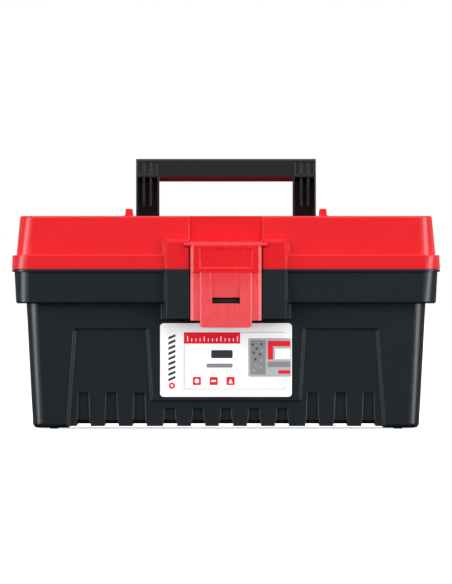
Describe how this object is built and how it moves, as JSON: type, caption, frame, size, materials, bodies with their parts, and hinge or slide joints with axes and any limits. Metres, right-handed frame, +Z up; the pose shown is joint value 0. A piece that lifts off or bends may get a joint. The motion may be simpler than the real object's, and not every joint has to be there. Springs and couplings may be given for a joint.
{
  "type": "toolbox with tray",
  "caption": "Rectangular plastic toolbox with a hinged lid, fold-down carrying handle, front latch, covered lid organisers and a lift-out divided tray.",
  "frame": {"origin": "on the floor under the middle of the box, halfway between the latch's face and the hinge knuckles", "axes": "+X along the long side, +Y from the latch to the rear hinges, +Z up"},
  "size_m": [0.36, 0.193, 0.2276],
  "materials": {
    "body_plastic": "fine moulded grain, charcoal",
    "lid_plastic": "satin moulded, red",
    "latch_plastic": "satin moulded, red",
    "handle_plastic": "satin moulded, black",
    "tray_plastic": "satin moulded, black",
    "insert_plastic": "satin moulded, black",
    "cover_plastic": "clear smoke, glossy",
    "label_paper": null,
    "pin_steel": "drawn wire"
  },
  "bodies": {
    "box": {"body": "body_plastic", "label": "label_paper", "hinge_pin_left": "pin_steel", "hinge_pin_right": "pin_steel"},
    "lid": {"lid": "lid_plastic", "organiser_divider_left_front": "insert_plastic", "organiser_divider_left_rear": "insert_plastic", "organiser_divider_right_front": "insert_plastic", "organiser_divider_right_rear": "insert_plastic"},
    "latch": {"latch": "latch_plastic"},
    "handle": {"handle": "handle_plastic"},
    "cover_left": {"organiser_cover_left": "cover_plastic"},
    "cover_right": {"organiser_cover_right": "cover_plastic"},
    "tray": {"tray": "tray_plastic", "tray_divider_front_left": "insert_plastic", "tray_divider_front_right": "insert_plastic", "tray_divider_rear_left": "insert_plastic", "tray_divider_rear_right": "insert_plastic"}
  },
  "joints": [
    {"name": "lid_hinge", "type": "hinge", "parent": "box", "child": "lid", "pos_m": [0, 0.0935, 0.1342], "axis": [-1, 0, 0], "range_deg": [0, 105]},
    {"name": "handle_pivot", "type": "hinge", "parent": "lid", "child": "handle", "pos_m": [0, -0.005, 0.168], "axis": [-1, 0, 0], "range_deg": [0, 90]},
    {"name": "latch_pivot", "type": "hinge", "parent": "lid", "child": "latch", "pos_m": [0, -0.0932, 0.1546], "axis": [-1, 0, 0], "range_deg": [0, 110]},
    {"name": "cover_left_hinge", "type": "hinge", "parent": "lid", "child": "cover_left", "pos_m": [-0.089, 0, 0.1764], "axis": [0, 1, 0], "range_deg": [0, 95]},
    {"name": "cover_right_hinge", "type": "hinge", "parent": "lid", "child": "cover_right", "pos_m": [0.089, 0, 0.1764], "axis": [0, -1, 0], "range_deg": [0, 95]},
    {"name": "tray_lift", "type": "slide", "parent": "box", "child": "tray", "axis": [0, 0, 1], "range_m": [0, 0.02]}
  ]
}
